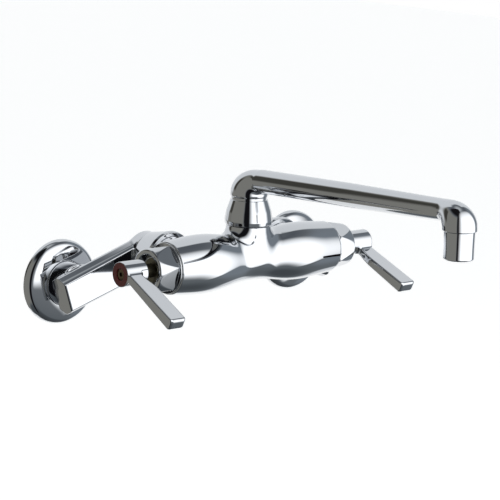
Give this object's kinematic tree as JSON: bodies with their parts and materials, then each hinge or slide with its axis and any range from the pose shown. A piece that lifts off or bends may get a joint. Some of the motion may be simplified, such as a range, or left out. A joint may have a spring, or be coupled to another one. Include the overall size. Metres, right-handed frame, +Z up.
{
  "type": "wall-mounted two-handle sink faucet",
  "caption": "Wall-mounted sink faucet: waisted double-barrel body, lever handles, cranked supply arms with round flanges, swing spout with aerator.",
  "frame": {"origin": "in the wall plane, midway between the two wall inlets", "axes": "+X to the right along the body as seen by the user, +Y into the wall, +Z up; the spout points to -Y"},
  "size_m": [0.273, 0.2906, 0.1173],
  "materials": {
    "chrome_casting": "polished chrome plate on cast brass",
    "chrome_nuts": "polished chrome plate on turned brass",
    "chrome_handles": "polished chrome plate on a die casting",
    "chrome_arms": "polished chrome plate on forged brass",
    "chrome_aerator": "polished chrome plate on turned brass",
    "cartridge_brass": "turned brass, bare",
    "seal_rubber": "moulded black rubber",
    "red_index": "moulded plastic",
    "blue_index": "moulded plastic",
    "screw_steel": "stainless steel, machined",
    "retainer_plastic": "moulded acetal",
    "aerator_plastic": "moulded acetal"
  },
  "bodies": {
    "valve_body": {"faucet_body": "chrome_casting", "spout_nut": "chrome_nuts", "hot_bonnet": "chrome_nuts", "hot_cartridge_housing": "cartridge_brass", "hot_housing_seal": "seal_rubber", "hot_union_nut": "chrome_nuts", "hot_union_washer": "seal_rubber", "cold_bonnet": "chrome_nuts", "cold_cartridge_housing": "cartridge_brass", "cold_housing_seal": "seal_rubber", "cold_union_nut": "chrome_nuts", "cold_union_washer": "seal_rubber"},
    "swing_spout": {"spout": "chrome_casting", "spout_retainer": "retainer_plastic", "spout_seals": "seal_rubber", "aerator_housing": "chrome_aerator", "aerator_insert": "aerator_plastic", "aerator_washer": "seal_rubber"},
    "hot_handle": {"hot_lever_handle": "chrome_handles", "hot_index_ring": "red_index", "hot_handle_screw": "screw_steel", "hot_stem": "cartridge_brass", "hot_stem_seal": "seal_rubber"},
    "hot_piston": {"hot_plunger": "cartridge_brass", "hot_seat_washer": "seal_rubber"},
    "hot_arm": {"hot_supply_arm": "chrome_arms", "hot_union_tail": "cartridge_brass", "hot_wall_flange": "chrome_arms"},
    "cold_handle": {"cold_lever_handle": "chrome_handles", "cold_index_ring": "blue_index", "cold_handle_screw": "screw_steel", "cold_stem": "cartridge_brass", "cold_stem_seal": "seal_rubber"},
    "cold_piston": {"cold_plunger": "cartridge_brass", "cold_seat_washer": "seal_rubber"},
    "cold_arm": {"cold_supply_arm": "chrome_arms", "cold_union_tail": "cartridge_brass", "cold_wall_flange": "chrome_arms"}
  },
  "joints": [
    {"name": "spout_swing", "type": "hinge", "parent": "valve_body", "child": "swing_spout", "pos_m": [0, -0.0762, 0.01815], "axis": [0, 0, 1], "range_deg": [-100, 100]},
    {"name": "hot_handle_turn", "type": "hinge", "parent": "valve_body", "child": "hot_handle", "pos_m": [-0.08, -0.0762, 0.01815], "axis": [-1, 0, 0], "range_deg": [0, 90]},
    {"name": "hot_piston_lift", "type": "slide", "parent": "valve_body", "child": "hot_piston", "axis": [-1, 0, 0], "range_m": [0, 0.0022]},
    {"name": "hot_arm_swing", "type": "hinge", "parent": "valve_body", "child": "hot_arm", "pos_m": [-0.0508, -0.0362, 0.01815], "axis": [0, -1, 0], "range_deg": [-18, 80]},
    {"name": "cold_handle_turn", "type": "hinge", "parent": "valve_body", "child": "cold_handle", "pos_m": [0.08, -0.0762, 0.01815], "axis": [-1, 0, 0], "range_deg": [0, 90]},
    {"name": "cold_piston_lift", "type": "slide", "parent": "valve_body", "child": "cold_piston", "axis": [1, 0, 0], "range_m": [0, 0.0022]},
    {"name": "cold_arm_swing", "type": "hinge", "parent": "valve_body", "child": "cold_arm", "pos_m": [0.0508, -0.0362, 0.01815], "axis": [0, 1, 0], "range_deg": [-18, 80]}
  ],
  "couplings": [
    {"joint": "hot_piston_lift", "follows": "hot_handle_turn", "m_per_rad": 0.0013992},
    {"joint": "cold_piston_lift", "follows": "cold_handle_turn", "m_per_rad": 0.0013992}
  ]
}
